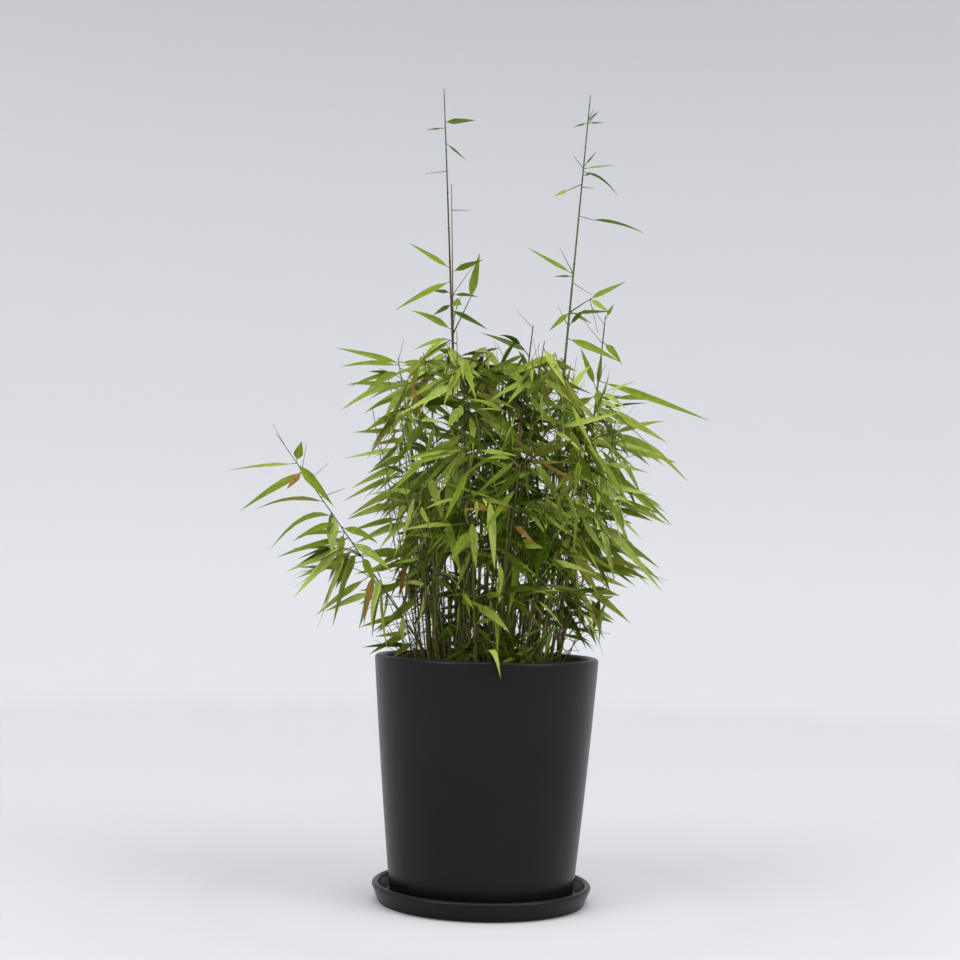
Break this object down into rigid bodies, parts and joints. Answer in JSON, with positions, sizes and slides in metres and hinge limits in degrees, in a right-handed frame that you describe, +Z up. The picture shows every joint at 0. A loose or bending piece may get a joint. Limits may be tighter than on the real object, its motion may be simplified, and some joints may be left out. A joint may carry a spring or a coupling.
{
  "type": "potted bamboo",
  "caption": "Clump-forming bamboo with arching leafy canes in a tall, tapered, matt black pot standing on its round saucer.",
  "frame": {"origin": "centre of the saucer's flat underside, on the pot's axis", "axes": "+Z up along the pot's axis, -Y towards the viewer of the front, +X to the right, where the crown leans"},
  "size_m": [0.5913, 0.4065, 1.028],
  "materials": {
    "black_glaze": "matt black glaze, smooth, with a soft sheen",
    "potting_soil": "dark, crumbly potting soil with fine bark",
    "cane": "smooth green to purplish canes with straw-coloured sheaths",
    "leaf": "thin satin leaves, fresh green above and paler below"
  },
  "bodies": {
    "root": {"saucer": "black_glaze", "pot": "black_glaze", "soil": "potting_soil", "culm_bare_1": "cane", "culm_bare_2": "cane", "culm_bare_3": "cane", "culm_bare_4": "cane", "culm_bare_5": "cane", "culm_bare_6": "cane", "culm_bare_7": "cane", "culm_bare_8": "cane", "culm_bare_9": "cane", "culm_bare_10": "cane", "culm_bare_11": "cane", "culm_bare_12": "cane", "culm_leader_left": "cane", "foliage_leader_left": "leaf", "culm_leader_right": "cane", "foliage_leader_right": "leaf", "culm_side_leader": "cane", "foliage_side_leader": "leaf", "culm_left_high": "cane", "foliage_left_high": "leaf", "culm_front": "cane", "foliage_front": "leaf", "culm_arm": "cane", "foliage_arm": "leaf", "culm_outer_2": "cane", "foliage_outer_2": "leaf", "culm_outer_3": "cane", "foliage_outer_3": "leaf", "culm_outer_4": "cane", "foliage_outer_4": "leaf", "culm_outer_5": "cane", "foliage_outer_5": "leaf", "culm_outer_7": "cane", "foliage_outer_7": "leaf", "culm_outer_9": "cane", "foliage_outer_9": "leaf", "culm_outer_10": "cane", "foliage_outer_10": "leaf", "culm_outer_11": "cane", "foliage_outer_11": "leaf", "culm_middle_1": "cane", "foliage_middle_1": "leaf", "culm_middle_2": "cane", "foliage_middle_2": "leaf", "culm_middle_3": "cane", "foliage_middle_3": "leaf", "culm_middle_5": "cane", "foliage_middle_5": "leaf", "culm_middle_6": "cane", "foliage_middle_6": "leaf", "culm_inner_1": "cane", "foliage_inner_1": "leaf", "culm_inner_2": "cane", "foliage_inner_2": "leaf", "culm_inner_3": "cane", "foliage_inner_3": "leaf"}
  },
  "joints": []
}
